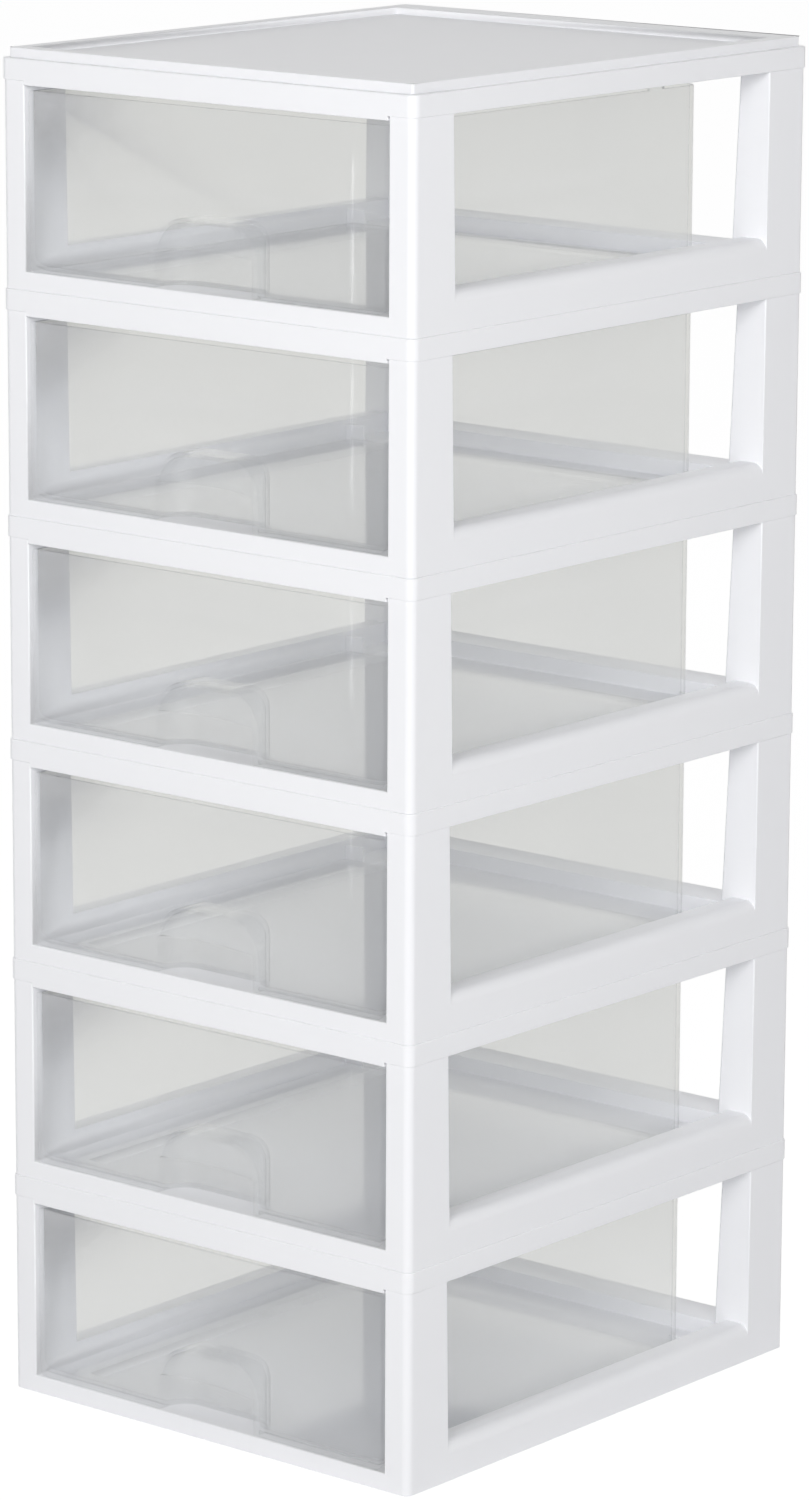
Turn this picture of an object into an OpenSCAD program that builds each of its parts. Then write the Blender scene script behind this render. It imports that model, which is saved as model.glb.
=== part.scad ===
// Tower of stacked drawer units. Each unit is a white base frame with four hollow posts and a
// sunken floor, a white top frame plugged into the posts, and a clear drawer that slides on the
// ledges beside the floor.
// The tower stands on z = 0, centred on the origin, with its drawer fronts facing -Y.

/* [Tower] */
// Number of drawer units in the stack
units = 6; // [1:1:8]
// Outside width of the top frames, which are the widest parts
rim_w = 270; // [230:1:400]
// Outside depth of the top frames
rim_d = 318; // [300:1:420]
// Height that each unit adds to the stack
unit_h = 116.5; // [100:0.5:180]
// How far the base frames lie inside the top frames' outside faces
body_inset = 0.7; // [0.5:0.1:1.5]
// Radius of the top frames' upright corners
corner_r = 5; // [5:0.5:10]
// Thickness of the white frames' walls
wall = 2.4; // [2:0.1:3]

/* [Base frame] */
// Space between a stacking lip and the ledges above it
lip_headroom = 1.9; // [0.5:0.1:4]
// Space between a top panel and the sunken floor above it
floor_headroom = 0.6; // [0.3:0.1:1]
// Width of the ledges that the drawer slides on
ledge_w = 19; // [14:0.5:30]
// Width of the ledge behind the top frame's front
front_ledge_w = 22; // [19:0.5:40]
// Height of the side rails at the drawer bay
side_rail_h = 19.8; // [16:0.1:28]
// Radius of the side rails' outer edges, which are the sills of the side windows
side_rail_r = 6; // [1:0.5:6]
// Width of the side rails, from the outside to the drawer bay
side_rail_w = 16; // [12:0.5:22]
// Height of the back rail
back_rail_h = 13.2; // [11:0.1:30]
// Width of the back rail, from the outside to the drawer bay
back_rail_w = 23.5; // [12:0.5:24]
// Width of the front posts, seen from the front
front_post_w = 16; // [12:0.5:24]
// Depth of the front posts at their foot, seen from the side
front_post_d = 32.8; // [20:0.1:45]
// Width of the rear posts at their foot, seen from the back
rear_post_w = 24.2; // [14:0.1:30]
// Depth of the rear posts at their foot, seen from the side
rear_post_d = 32.9; // [24:0.1:40]
// How far the front posts' faces at the side windows lean back over the height of a unit
front_draft = 1.6; // [0:0.1:3]
// How far the rear posts' faces at the side windows lean back over the height of a unit
rear_draft = 0.3; // [0:0.1:3]
// How far the rear post faces at the back opening lean back over the height of a unit
back_draft = 4.8; // [0:0.1:6]
// Width of the ribs behind the drawer that stop it when it is pushed in
stop_rib_w = 12; // [8:0.5:14]

/* [Top frame] */
// Height of the band above the drawer front
front_band_h = 13.2; // [12.5:0.1:20]
// Height of the band above the side windows and round the back
side_band_h = 11.1; // [8:0.1:12]
// Height of the stacking lip above the shoulder that the next unit stands on
lip_h = 5; // [3:0.1:6]
// Width of the stacking lip on the front and the sides
lip_w = 8; // [7.5:0.5:14]
// Width of the stacking lip on the back
lip_back_w = 17; // [7.5:0.5:24]
// How far the top panel lies below the lip
panel_drop = 3.7; // [1:0.1:4]
// Length of the plugs that reach down into the posts
plug_l = 10; // [6:0.5:20]

/* [Drawer] */
// Outside length of the drawer
drawer_l = 250; // [200:1:256]
// Gap between the drawer and a front post
drawer_side_gap = 2.5; // [0.5:0.1:4]
// Gap between the drawer and the band above it
drawer_top_gap = 2.5; // [1:0.1:6]
// How far the drawer's front lies behind the top frame's front
drawer_recess = 0.8; // [0:0.1:3]
// Length of the drawer that stays in the tower when it is fully out
keep_in = 45; // [36:1:80]
// Thickness of the drawer's front
front_t = 2.2; // [1.8:0.1:3]
// Thickness of the drawer's other walls and its floor
tray_wall = 2; // [1.5:0.1:3]
// Radius of the drawer's lower edges and rear corners
tray_r = 9; // [5:0.5:14]
// Radius of the front's lower corners
front_r = 4; // [2:0.5:5]
// Height of the stop tabs above the drawer's side walls
tab_h = 5; // [4:0.5:7]
// Length of the stop tabs
tab_l = 12; // [8:0.5:16]

/* [Finger pull] */
// Width of the finger pull
pull_w = 64; // [50:1:90]
// Height of the finger pull above the drawer's underside
pull_h = 33.4; // [28:0.1:44]
// Depth of the finger pull, measured from the drawer's front
pull_d = 18; // [15:0.5:28]
// Radius of the finger pull's upper corners, seen from the front
pull_top_r = 18; // [6:0.5:22]
// Radius of the finger pull's rear corners, seen from above
pull_rear_r = 12; // [6:0.5:14]
// Height of the part of the front that fingers hook behind, at its ends
hood_h = 14.6; // [8:0.2:18]
// How much higher the hood's lower edge is in the middle than at its ends
hood_arch = 2; // [0.5:0.1:4]

/* [Fits] */
// Running gap under the drawer, and at the stops
slide_gap = 0.3; // [0.2:0.05:0.8]
// Gap round the plugs in the posts, and beside the front band
fit_gap = 0.3; // [0.1:0.05:0.5]
// Gap between a stacking lip and the base frame round it
lip_gap = 0.4; // [0.2:0.1:1]

/* [Hidden] */
$fn = 48;
cut = 1;

rim_x = rim_w / 2;
front_y = -rim_d / 2;
back_y = rim_d / 2;

// Base frame: ledges, sunken floor, posts and the drawer bay between them
skirt_t = body_inset + wall;
body_x = rim_x - body_inset;
post_top_z = unit_h - side_band_h;
ledge_z = lip_h + lip_headroom + wall;
floor_z = lip_h - panel_drop + floor_headroom + wall;
mouth_half = rim_x - front_post_w;
bay_half = rim_x - side_rail_w;
back_half = rim_x - rear_post_w;
front_post_y = front_y + front_post_d;
rear_post_y = back_y - rear_post_d;
back_rail_y = back_y - back_rail_w;
floor_half = bay_half - ledge_w;
floor_y = front_y + front_ledge_w;

// Top frame: band, shoulder, lip and panel
band_z = unit_h - front_band_h;
band_back_y = front_y + skirt_t;
lip_z = unit_h + lip_h;
lip_inset = skirt_t + lip_gap;
panel_z = lip_z - panel_drop;
panel_back_y = back_y - lip_inset - lip_back_w;
floor_back_y = min(back_rail_y, panel_back_y - lip_gap - wall);

// Drawer: walls, travel and tabs
drawer_half = mouth_half - drawer_side_gap;
drawer_z = ledge_z + slide_gap;
drawer_top_z = band_z - drawer_top_gap;
drawer_y = front_y + drawer_recess;
drawer_back_y = drawer_y + drawer_l;
travel = drawer_l - keep_in;
tab_y = band_back_y + travel + slide_gap;
stop_rib_y = drawer_back_y + slide_gap;
hood_z = drawer_z + pull_h - hood_h;

// Where the leaning post faces lie
function window_front_y(z) = front_post_y - front_draft * z / unit_h;
function window_rear_y(z) = rear_post_y + rear_draft * z / unit_h;
function back_opening_x(z) = back_half + back_draft * z / unit_h;

// Flat rectangle with round corners, centred on the origin
module round_rect(w, d, r) {
    square([w - 2 * r, d], center = true);
    square([w, d - 2 * r], center = true);
    for (x = [-1, 1], y = [-1, 1])
        translate([x * (w / 2 - r), y * (d / 2 - r)]) circle(r);
}

// Upright slab, inset from the top frame's outside faces, from z0 to z1
module slab(inset, z0, z1) {
    translate([0, 0, z0]) linear_extrude(z1 - z0)
        round_rect(rim_w - 2 * inset, rim_d - 2 * inset, max(corner_r - inset, 1));
}

// Box between two corners
module box(low, high) {
    translate(low) cube(high - low);
}

// Box that reaches equally far to the left and to the right
module wide_box(half_w, y0, y1, z0, z1) {
    box([-half_w, y0, z0], [half_w, y1, z1]);
}

// Prism from x0 to x1 over an outline of [y, z] points
module prism_x(x0, x1, outline) {
    translate([x0, 0, 0]) rotate([90, 0, 90]) linear_extrude(x1 - x0) polygon(outline);
}

// Prism from y0 to y1 over an outline of [x, z] points
module prism_y(y0, y1, outline) {
    translate([0, y1, 0]) rotate([90, 0, 0]) linear_extrude(y1 - y0) polygon(outline);
}

// The same shape on the right and, mirrored, on the left
module both_sides() {
    children();
    mirror([1, 0, 0]) children();
}

// Space inside the right-hand front post, inset from its outside faces
module front_post_space(z0, z1, inset) {
    low = front_y + body_inset + inset;
    prism_x(mouth_half + inset, rim_x - body_inset - inset, [
        [low, z0],
        [window_front_y(z0) - inset, z0],
        [window_front_y(z1) - inset, z1],
        [low, z1],
    ]);
}

// Space inside the right-hand rear post, inset from its outside faces
module rear_post_space(z0, z1, inset) {
    outer_x = rim_x - body_inset - inset;
    outer_y = back_y - body_inset - inset;
    intersection() {
        prism_x(0, outer_x, [
            [window_rear_y(z0) + inset, z0],
            [outer_y, z0],
            [outer_y, z1],
            [window_rear_y(z1) + inset, z1],
        ]);
        prism_y(0, outer_y, [
            [back_opening_x(z0) + inset, z0],
            [outer_x, z0],
            [outer_x, z1],
            [back_opening_x(z1) + inset, z1],
        ]);
    }
}

// The right-hand side rail seen from the front, with its round outer edge
module side_rail_outline() {
    flat_w = body_x - side_rail_r - bay_half;
    translate([bay_half, 0]) square([flat_w, side_rail_h]);
    translate([bay_half, 0]) square([rim_w, side_rail_h - side_rail_r]);
    translate([bay_half + flat_w, side_rail_h - side_rail_r]) circle(side_rail_r);
}

// Drawer bay from the front posts to the rear posts, and the side windows above the rails
module side_room() {
    intersection() {
        prism_x(-rim_w, rim_w, [
            [front_post_y, 0],
            [rear_post_y, 0],
            [window_rear_y(unit_h), unit_h],
            [window_front_y(unit_h), unit_h],
        ]);
        both_sides() translate([0, back_y, 0]) rotate([90, 0, 0]) linear_extrude(rim_d)
            difference() {
                translate([-cut, ledge_z]) square([rim_w, unit_h - ledge_z]);
                side_rail_outline();
            }
    }
}

// Room between the rear posts, above the ledges and the back rail
module back_room() {
    intersection() {
        both_sides() prism_y(0, back_y + cut, [
            [-cut, 0],
            [back_half, 0],
            [back_opening_x(unit_h), unit_h],
            [-cut, unit_h],
        ]);
        prism_x(-rim_x, rim_x, [
            [-cut, ledge_z],
            [back_rail_y, ledge_z],
            [back_rail_y, back_rail_h],
            [back_y + cut, back_rail_h],
            [back_y + cut, unit_h],
            [-cut, unit_h],
        ]);
    }
}

// The sunken floor's room between the ledges, grown on every side
module floor_room(z0, z1, grow) {
    wide_box(floor_half + grow, floor_y - grow, floor_back_y + grow, z0, z1);
}

// Hollow underside of the floor and the rails, which drops over the lip of the unit below
module base_frame_underside() {
    slab(skirt_t, -cut, floor_z - wall);
    difference() {
        slab(skirt_t, 0, ledge_z - wall);
        floor_room(-cut, unit_h, wall);
    }
    both_sides() box([bay_half + wall, front_post_y, 0],
                     [rim_x - skirt_t, rear_post_y, side_rail_h - wall]);
    wide_box(back_half, back_rail_y + wall, back_y - skirt_t, 0, back_rail_h - wall);
}

// Ribs on the ledges that the closed drawer's rear wall stops against
module stop_ribs() {
    both_sides() box([bay_half - stop_rib_w, stop_rib_y, ledge_z - wall / 2],
                     [bay_half + wall / 2, stop_rib_y + wall, side_rail_h - wall]);
}

module base_frame() {
    color("white") {
        difference() {
            slab(body_inset, 0, post_top_z);
            wide_box(mouth_half, front_y - cut, front_post_y + cut, ledge_z, unit_h);
            side_room();
            back_room();
            floor_room(floor_z, ledge_z + cut, 0);
            base_frame_underside();
            both_sides() {
                front_post_space(ledge_z, unit_h, wall);
                rear_post_space(ledge_z, unit_h, wall);
            }
        }
        stop_ribs();
    }
}

// The panel's room inside the lip, grown on every side
module panel_room(z0, z1, grow) {
    e = lip_inset + lip_w - grow;
    box([-rim_x + e, front_y + e, z0], [rim_x - e, panel_back_y + grow, z1]);
}

// Band, shoulder, lip and panel as one thin shell that is open below
module cap_shell() {
    difference() {
        union() {
            slab(0, post_top_z, unit_h);
            slab(lip_inset, unit_h - wall, lip_z);
        }
        slab(skirt_t, 0, unit_h - wall);
        difference() {
            slab(lip_inset + wall, 0, lip_z - wall);
            panel_room(0, lip_z, wall);
        }
        panel_room(panel_z, lip_z + cut, 0);
    }
    panel_room(panel_z - wall, panel_z, wall);
}

// Plugs that hang from the shell and reach down into the hollow posts
module plugs() {
    z0 = post_top_z - plug_l;
    z1 = panel_z - wall / 2;
    both_sides() {
        difference() {
            front_post_space(z0, z1, wall + fit_gap);
            front_post_space(z0 - cut, z1 + cut, 2 * wall + fit_gap);
        }
        difference() {
            rear_post_space(z0, z1, wall + fit_gap);
            rear_post_space(z0 - cut, z1 + cut, 2 * wall + fit_gap);
        }
    }
}

module top_frame() {
    color("white") {
        cap_shell();
        plugs();
        wide_box(mouth_half - fit_gap, front_y, band_back_y, band_z, unit_h - wall / 2);
    }
}

// Flat outline with two round lower corners, standing on the x axis
module round_bottom(w, h, r) {
    translate([-w / 2, r]) square([w, h - r]);
    translate([r - w / 2, 0]) square([w - 2 * r, h]);
    for (x = [-1, 1]) translate([x * (w / 2 - r), r]) circle(r);
}

// The drawer's outside, or its inside when inset, with round lower edges and rear corners
module tray_block(inset, front_inset, rise) {
    w = 2 * (drawer_half - inset);
    l = drawer_l - inset - front_inset;
    h = drawer_top_z - drawer_z - inset + rise;
    r = tray_r - inset;
    translate([0, drawer_y + front_inset, drawer_z + inset]) intersection() {
        translate([0, l, 0]) rotate([90, 0, 0]) linear_extrude(l) round_bottom(w, h, r);
        translate([-w / 2, l / 2, 0]) rotate([90, 0, 90]) linear_extrude(w) round_bottom(l, h, r);
        linear_extrude(h) translate([0, l]) rotate(180) round_bottom(w, l, r);
    }
}

// Open tray with two tabs on its side walls
module tray() {
    difference() {
        tray_block(0, 0, 0);
        tray_block(tray_wall, front_t, cut);
    }
    both_sides() box([drawer_half - tray_wall, tab_y, drawer_top_z - tray_wall],
                     [drawer_half, tab_y + tab_l, drawer_top_z + tab_h]);
}

// Flat front that squares off the tray's front end
module front() {
    translate([0, drawer_y + front_t, drawer_z]) rotate([90, 0, 0]) linear_extrude(front_t)
        round_bottom(2 * drawer_half, drawer_top_z - drawer_z, front_r);
}

// The finger pull's space, grown on every side but the front and the underside
module pull_space(grow) {
    w = pull_w + 2 * grow;
    intersection() {
        translate([0, 0, drawer_z + pull_h + grow]) rotate([90, 180, 0])
            linear_extrude(2 * rim_d, center = true)
                round_bottom(w, pull_h + grow + cut, pull_top_r + grow);
        translate([0, drawer_y + pull_d + grow, 0]) rotate(180)
            linear_extrude(unit_h)
                round_bottom(w, pull_d + grow + cut, pull_rear_r + grow);
    }
}

// The part of the front, with an arched lower edge, that closes the finger pull's upper end
module hood() {
    arch_r = (pow(pull_w / 2, 2) + pow(hood_arch, 2)) / (2 * hood_arch);
    difference() {
        wide_box(rim_x, front_y - cut, drawer_y + front_t, hood_z, unit_h);
        translate([0, 0, hood_z + hood_arch - arch_r]) rotate([90, 0, 0])
            cylinder(h = 2 * rim_d, r = arch_r, center = true, $fn = 240);
    }
}

module drawer() {
    color("gainsboro", 0.5) difference() {
        union() {
            tray();
            front();
            intersection() {
                pull_space(tray_wall);
                wide_box(rim_x, drawer_y, back_y, drawer_z, unit_h);
            }
        }
        difference() {
            pull_space(0);
            hood();
        }
    }
}

for (n = [1:units]) translate([0, 0, (n - 1) * unit_h]) {
    base_frame();
    top_frame();
    drawer();
}
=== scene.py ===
"""A tower of six stacked drawer units in white and clear moulded plastic."""

from math import cos, radians, sin

import bmesh
import bpy
from mathutils import Matrix, Vector


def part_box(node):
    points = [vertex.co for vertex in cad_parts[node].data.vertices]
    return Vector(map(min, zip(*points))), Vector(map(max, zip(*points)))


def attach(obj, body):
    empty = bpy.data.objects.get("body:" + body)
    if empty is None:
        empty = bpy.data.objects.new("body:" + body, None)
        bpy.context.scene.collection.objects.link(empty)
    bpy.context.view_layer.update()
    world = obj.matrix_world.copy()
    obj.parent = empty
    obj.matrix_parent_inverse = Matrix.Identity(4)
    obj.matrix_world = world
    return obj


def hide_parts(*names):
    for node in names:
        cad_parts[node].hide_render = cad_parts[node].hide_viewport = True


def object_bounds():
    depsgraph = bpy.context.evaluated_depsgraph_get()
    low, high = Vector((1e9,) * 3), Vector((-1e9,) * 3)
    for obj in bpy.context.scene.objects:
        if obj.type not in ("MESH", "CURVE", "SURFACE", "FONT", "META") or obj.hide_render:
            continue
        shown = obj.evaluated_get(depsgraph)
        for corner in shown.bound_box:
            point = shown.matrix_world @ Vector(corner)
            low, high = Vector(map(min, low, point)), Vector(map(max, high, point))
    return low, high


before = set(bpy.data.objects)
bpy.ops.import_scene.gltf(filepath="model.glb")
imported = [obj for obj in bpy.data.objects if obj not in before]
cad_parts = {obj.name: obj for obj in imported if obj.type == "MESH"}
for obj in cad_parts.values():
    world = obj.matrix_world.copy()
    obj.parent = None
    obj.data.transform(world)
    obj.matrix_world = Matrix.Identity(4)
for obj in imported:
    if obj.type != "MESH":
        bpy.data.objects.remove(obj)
cad_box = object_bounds()
scene = bpy.context.scene

MM = 0.001


# Shader maths

class Value:
    """A socket that adds Math nodes when it meets an operator."""

    def __init__(self, tree, socket):
        self.tree = tree
        self.socket = socket

    def __add__(self, other):
        return self.tree.maths("ADD", self, other)

    def __radd__(self, other):
        return self.tree.maths("ADD", other, self)

    def __sub__(self, other):
        return self.tree.maths("SUBTRACT", self, other)

    def __rsub__(self, other):
        return self.tree.maths("SUBTRACT", other, self)

    def __mul__(self, other):
        return self.tree.maths("MULTIPLY", self, other)

    def __pow__(self, other):
        return self.tree.maths("POWER", self, other)


class Shading:
    """A node tree, with one method that adds a node, sets it and fills its sockets."""

    def __init__(self, owner):
        owner.use_nodes = True
        self.tree = owner.node_tree
        self.tree.nodes.clear()

    def node(self, kind, settings=None, sockets=None, output=0):
        node = self.tree.nodes.new(kind)
        for name, value in (settings or {}).items():
            setattr(node, name, value)
        for key, value in (sockets or {}).items():
            if isinstance(value, Value):
                self.tree.links.new(value.socket, node.inputs[key])
            else:
                node.inputs[key].default_value = value
        return Value(self, node.outputs[output]) if node.outputs else None

    def maths(self, operation, *values):
        return self.node(
            "ShaderNodeMath", {"operation": operation}, dict(enumerate(values))
        )

    def between_0_and_1(self, value):
        return self.maths("MAXIMUM", self.maths("MINIMUM", value, 1.0), 0.0)

    def dot(self, vector, axis):
        return self.node(
            "ShaderNodeVectorMath", {"operation": "DOT_PRODUCT"}, {0: vector, 1: axis}, "Value"
        )

    def noise(self, place, scale, detail, roughness):
        return self.node(
            "ShaderNodeTexNoise", {},
            {"Vector": place, "Scale": scale, "Detail": detail, "Roughness": roughness},
        )

    def bump(self, height, strength, depth, **under):
        return self.node(
            "ShaderNodeBump", {},
            {"Strength": strength, "Distance": depth, "Height": height, **under},
        )

    def blend(self, share, low, high):
        """The colour that goes from low to high as share goes from 0 to 1."""
        return self.node(
            "ShaderNodeMix", {"data_type": "RGBA"}, {0: share, 6: (*low, 1), 7: (*high, 1)}, 2
        )

    def mix(self, share, low, high):
        """The shader that goes from low to high as share goes from 0 to 1."""
        return self.node("ShaderNodeMixShader", {}, {0: share, 1: low, 2: high})

    def ray(self, kind):
        return self.node("ShaderNodeLightPath", output=kind)

    def seen(self):
        """1 for what the camera sees, straight, in a mirror or through a drawer."""
        straight_or_mirrored = self.maths(
            "MAXIMUM", self.ray("Is Camera Ray"), self.ray("Is Glossy Ray")
        )
        return self.maths("MAXIMUM", straight_or_mirrored, self.ray("Is Transmission Ray"))

    def covered(self):
        """1 where clear plastic lies in front, and 0 elsewhere."""
        return self.maths("MINIMUM", self.ray("Transparent Depth"), 1.0)

    def backdrop_colour(self):
        """White, and a warm white where clear plastic lies in front of it."""
        return self.blend(self.covered(), low=(1, 1, 1), high=(1, 1, 0.96))


def swing(noise, width):
    """The part of a noise that goes equally far to both sides of 0."""
    return (noise - 0.5) * width


# Finishes

def frame_white():
    """White moulded plastic with a fine satin grain and slightly uneven gloss."""
    material = bpy.data.materials.new("frame_white")
    tree = Shading(material)
    place = tree.node("ShaderNodeTexCoord", output="Object")
    clouds = tree.noise(place, scale=9.0, detail=3.0, roughness=0.5)
    patches = tree.noise(place, scale=70.0, detail=4.0, roughness=0.6)
    grain = tree.noise(place, scale=1500.0, detail=2.0, roughness=0.6)
    colour = tree.blend(clouds, low=(0.895, 0.9, 0.925), high=(0.92, 0.923, 0.94))
    roughness = 0.4 + swing(patches, 0.14) + swing(clouds, 0.08)
    swell = tree.bump(clouds, strength=0.25, depth=0.6 * MM)
    skin = tree.bump(grain, strength=0.3, depth=0.03 * MM, Normal=swell)
    shader = tree.node(
        "ShaderNodeBsdfPrincipled", {},
        {"Base Color": colour, "Roughness": roughness, "Normal": skin, "IOR": 1.48},
    )
    tree.node("ShaderNodeOutputMaterial", {}, {"Surface": shader})
    return material


def drawer_clear():
    """Clear glossy plastic: faint haze and tint, and a mirror at a slanting look."""
    tint = (0.996, 0.997, 0.998, 1)
    milk_colour = (0.93, 0.95, 0.98, 1)
    mirror_head_on = 0.04
    drawn_out = (1.0, 1.0, 2.2)

    material = bpy.data.materials.new("drawer_clear")
    tree = Shading(material)
    place = tree.node("ShaderNodeTexCoord", output="Object")
    drawn = tree.node("ShaderNodeMapping", {}, {"Vector": place, "Scale": drawn_out})
    waves = tree.noise(drawn, scale=13.0, detail=1.5, roughness=0.4)
    patches = tree.noise(place, scale=120.0, detail=5.0, roughness=0.65)
    haze = 0.045 + swing(waves, 0.012) + swing(patches, 0.008)
    roughness = 0.06 + patches * 0.05
    ripple = tree.bump(waves, strength=0.05, depth=0.2 * MM)

    through = tree.node("ShaderNodeBsdfTransparent", {}, {"Color": tint})
    near_side = tree.node("ShaderNodeBsdfDiffuse", {}, {"Color": milk_colour})
    far_side = tree.node("ShaderNodeBsdfTranslucent", {}, {"Color": milk_colour})
    milk = tree.mix(0.5, near_side, far_side)
    body = tree.mix(haze, through, milk)
    shine = tree.node(
        "ShaderNodeBsdfAnisotropic", {}, {"Roughness": roughness, "Normal": ripple}
    )
    slant = tree.node("ShaderNodeLayerWeight", {}, {"Blend": 0.5, "Normal": ripple}, "Facing")
    mirror = mirror_head_on + slant ** 5.0 * (1 - mirror_head_on)
    tree.node("ShaderNodeOutputMaterial", {}, {"Surface": tree.mix(mirror, body, shine)})
    return material


# Mouldings: each CAD solid with its hard edges rounded

SAME_PLACE = 0.01 * MM
SAME_FLAT = radians(1)
HARD_EDGE = radians(30)
ROUNDING_STEPS = 3

# How widely each group of edges is rounded
WIDEST = 2.4 * MM
SHOULDER = 1.2 * MM
BODY_EDGE = 1.2 * MM
LIP_TOP = 0.9 * MM
BAND_FOOT = 0.7 * MM
INNER = 0.6 * MM
BODY_FOOT = 0.4 * MM
POST_TOP = 0.15 * MM

# How far inside the tower's widest outline a group of edges begins or ends
BAND_DEPTH = 1.0 * MM
BODY_DEPTH = 2.0 * MM
BAY_DEPTH = 20.5 * MM

POST_EDGE_LENGTH = 50 * MM
SAME_LEVEL = 0.3 * MM

rim_x, rim_y, _ = cad_box[1]
unit_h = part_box("base_frame_2")[0][2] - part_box("base_frame_1")[0][2]


def place_of(edge):
    """How far the middle of an edge lies inside the widest outline, and its height."""
    middle = (edge.verts[0].co + edge.verts[1].co) / 2
    return min(rim_x - abs(middle.x), rim_y - abs(middle.y)), middle.z


def is_rear_post_corner(edge, depth):
    """True for the rear posts' upright edges at the drawer bay."""
    low, high = sorted((end.co for end in edge.verts), key=lambda place: place.z)
    return depth > BAY_DEPTH and low.y > 0 and high.z - low.z > POST_EDGE_LENGTH


def near(height, level):
    return abs(height - level) < SAME_LEVEL


def base_frame_rounding(n):
    (_, _, foot), (_, _, top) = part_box(f"base_frame_{n}")

    def rounding(edge):
        depth, height = place_of(edge)
        if is_rear_post_corner(edge, depth):
            return WIDEST
        if depth > BODY_DEPTH:
            return INNER
        if near(height, top):
            return POST_TOP
        return BODY_FOOT if near(height, foot) else BODY_EDGE

    return rounding


def top_frame_rounding(n):
    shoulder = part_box(f"base_frame_{n}")[0][2] + unit_h
    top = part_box(f"top_frame_{n}")[1][2]

    def rounding(edge):
        depth, height = place_of(edge)
        if depth < BAND_DEPTH:
            return SHOULDER if near(height, shoulder) else BAND_FOOT
        return LIP_TOP if near(height, top) else INNER

    return rounding


def drawer_rounding(edge):
    return INNER


def edged_mesh(node, rounding):
    """A solid's mesh in whole flats, with each outward hard edge weighted by its rounding."""
    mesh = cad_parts[node].data.copy()
    shape = bmesh.new()
    shape.from_mesh(mesh)
    bmesh.ops.remove_doubles(shape, verts=shape.verts, dist=SAME_PLACE)
    bmesh.ops.dissolve_limit(
        shape, angle_limit=SAME_FLAT, verts=shape.verts, edges=shape.edges
    )
    if node.startswith("top_frame"):
        # Its flats are rings, which would fill in if they were rounded in one piece
        bmesh.ops.connect_verts_concave(shape, faces=shape.faces)
    weight = shape.edges.layers.float.new("bevel_weight_edge")
    for edge in shape.edges:
        if len(edge.link_faces) == 2 and edge.calc_face_angle() > HARD_EDGE:
            edge[weight] = rounding(edge) / WIDEST if edge.is_convex else 0
            edge.smooth = edge[weight] > 0
    for face in shape.faces:
        face.smooth = True
    shape.to_mesh(mesh)
    shape.free()
    return mesh


def moulding(node, body, material, rounding):
    """A copy of a solid whose sharp edges are rounded, each by rounding(edge)."""
    piece = bpy.data.objects.new(node + "_moulding", edged_mesh(node, rounding))
    scene.collection.objects.link(piece)
    bevel = piece.modifiers.new("rounding", "BEVEL")
    bevel.limit_method = "WEIGHT"
    bevel.width = WIDEST
    bevel.segments = ROUNDING_STEPS
    bevel.offset_type = "WIDTH"
    bevel.use_clamp_overlap = False
    bevel.miter_outer = "MITER_ARC"
    flats = piece.modifiers.new("flats", "WEIGHTED_NORMAL")
    flats.keep_sharp = True
    piece.data.materials.clear()
    piece.data.materials.append(material)
    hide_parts(node)
    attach(piece, body)


white = frame_white()
clear = drawer_clear()
units = sum(name.startswith("drawer_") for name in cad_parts)
for n in range(1, units + 1):
    moulding(f"base_frame_{n}", "tower", white, base_frame_rounding(n))
    moulding(f"top_frame_{n}", "tower", white, top_frame_rounding(n))
    moulding(f"drawer_{n}", f"drawer_body_{n}", clear, drawer_rounding)


# Floor, light and camera

def white_floor():
    """A pale floor that reads as white to the camera and keeps a soft shadow."""
    glow_in_view = 0.8
    less_where_covered = 0.35

    material = bpy.data.materials.new("floor_white")
    tree = Shading(material)
    matt = tree.node("ShaderNodeBsdfDiffuse", {}, {"Color": (0.85, 0.85, 0.86, 1)})
    bright = tree.node(
        "ShaderNodeEmission", {}, {"Color": tree.backdrop_colour(), "Strength": 1.15}
    )
    share = tree.seen() * (glow_in_view - tree.covered() * less_where_covered)
    tree.node("ShaderNodeOutputMaterial", {}, {"Surface": tree.mix(share, matt, bright)})
    return material


def floor(reach, drop):
    """A square that reaches equally far on all sides, just under the tower."""
    mesh = bpy.data.meshes.new("floor")
    corners = [(x * reach, y * reach, -drop) for x, y in ((-1, -1), (1, -1), (1, 1), (-1, 1))]
    mesh.from_pydata(corners, [], [(0, 1, 2, 3)])
    mesh.materials.append(white_floor())
    plane = bpy.data.objects.new("floor", mesh)
    scene.collection.objects.link(plane)


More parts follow.
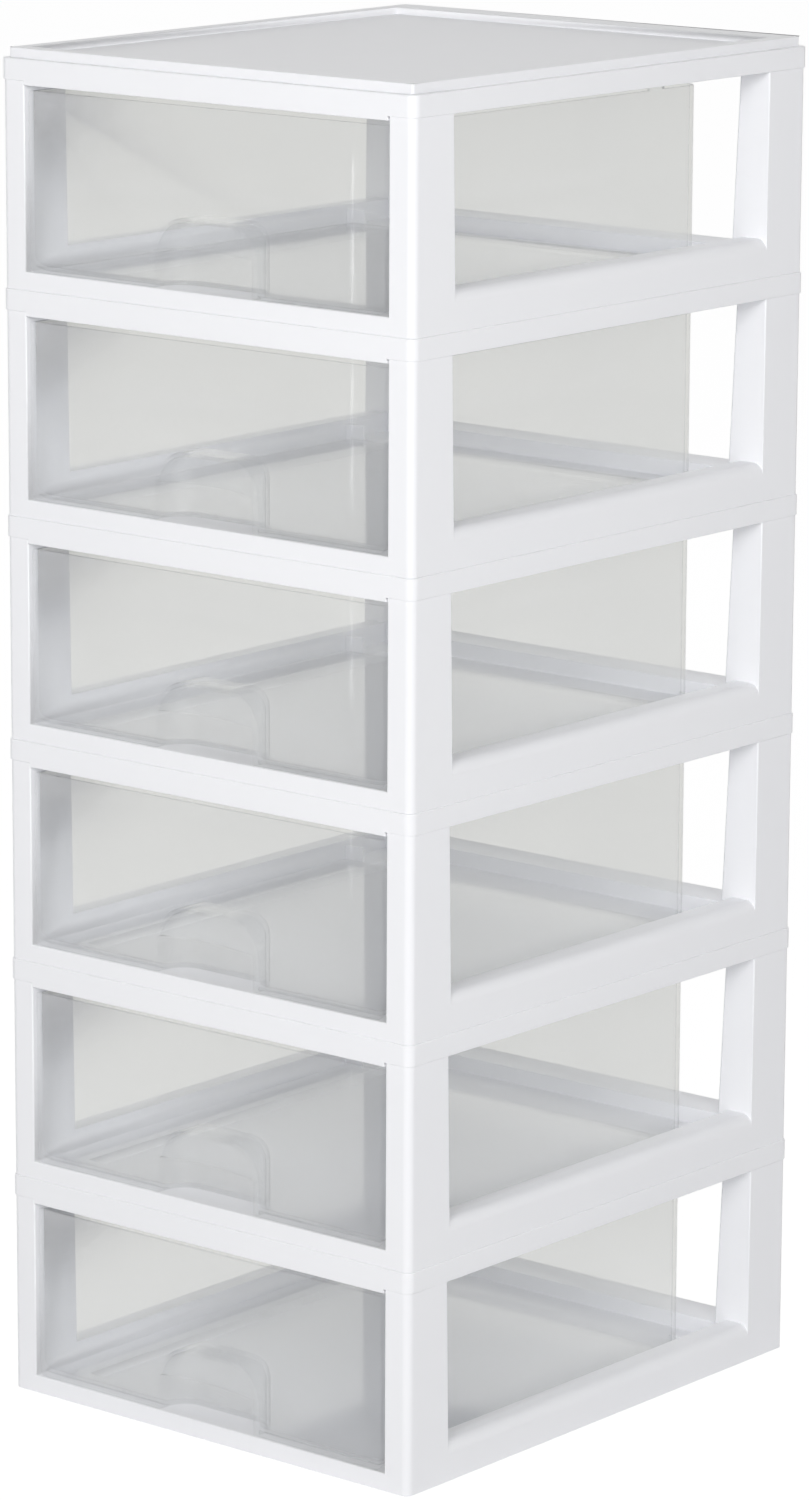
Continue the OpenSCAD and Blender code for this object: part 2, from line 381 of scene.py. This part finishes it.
def sky(front, back, overhead):
    """White where it is seen. As light, it has a level of its own on each side."""
    away_from_camera = (-0.64, 0.77, 0.0)
    upward = (0.0, 0.0, 1.0)
    steepness = 0.8

    scene.world = bpy.data.worlds.new("studio")
    tree = Shading(scene.world)
    way = tree.node("ShaderNodeTexCoord", output="Generated")
    behind = tree.between_0_and_1(tree.dot(way, away_from_camera) * steepness + 0.5)
    above = tree.maths("MAXIMUM", tree.dot(way, upward), 0.0)
    around = behind * (back - front) + front
    light = around + (overhead - around) * above
    strength = light + tree.seen() * (1 - light)
    glow = tree.node(
        "ShaderNodeBackground", {}, {"Color": tree.backdrop_colour(), "Strength": strength}
    )
    tree.node("ShaderNodeOutputWorld", {}, {"Surface": glow})


def softbox(name, place, power, target=(0, 0, 0.35), width=2.4, height=2.0):
    light = bpy.data.lights.new(name, "AREA")
    light.shape = "RECTANGLE"
    light.size = width
    light.size_y = height
    light.energy = power
    lamp = bpy.data.objects.new(name, light)
    lamp.location = place
    lamp.rotation_euler = (Vector(target) - Vector(place)).to_track_quat("-Z", "Y").to_euler()
    scene.collection.objects.link(lamp)


def camera(place, azimuth, elevation, roll, lens):
    """Looks back along the direction from the tower, given in degrees."""
    a, e, t = radians(azimuth), radians(elevation), radians(roll)
    back = Vector((sin(a) * cos(e), -cos(a) * cos(e), sin(e)))
    right = Vector((0, 0, 1)).cross(back).normalized()
    up = back.cross(right)
    right, up = right * cos(t) + up * sin(t), up * cos(t) - right * sin(t)
    view = bpy.data.cameras.new("view")
    view.sensor_width = 36
    view.lens = lens
    view.clip_end = 200
    eye = bpy.data.objects.new("view", view)
    turn = Matrix((right, up, back)).transposed().to_4x4()
    eye.matrix_world = Matrix.Translation(place) @ turn
    scene.collection.objects.link(eye)
    scene.camera = eye


floor(reach=60, drop=0.2 * MM)
sky(front=0.05, back=1.5, overhead=0.2)
softbox("key_softbox", place=(2.43, -3.11, 1.79), power=96)
softbox("fill_softbox", place=(1.7, -2.6, 1.5), power=18)
camera(
    place=(1.92422, -2.32244, 1.00276), azimuth=39.657, elevation=12.467, roll=0.247, lens=142.44
)
scene.view_settings.view_transform = "Standard"

# Enough for a look through every drawer wall that can lie in line
scene.cycles.transparent_max_bounces = 32
scene.cycles.diffuse_bounces = 8
scene.cycles.max_bounces = 16
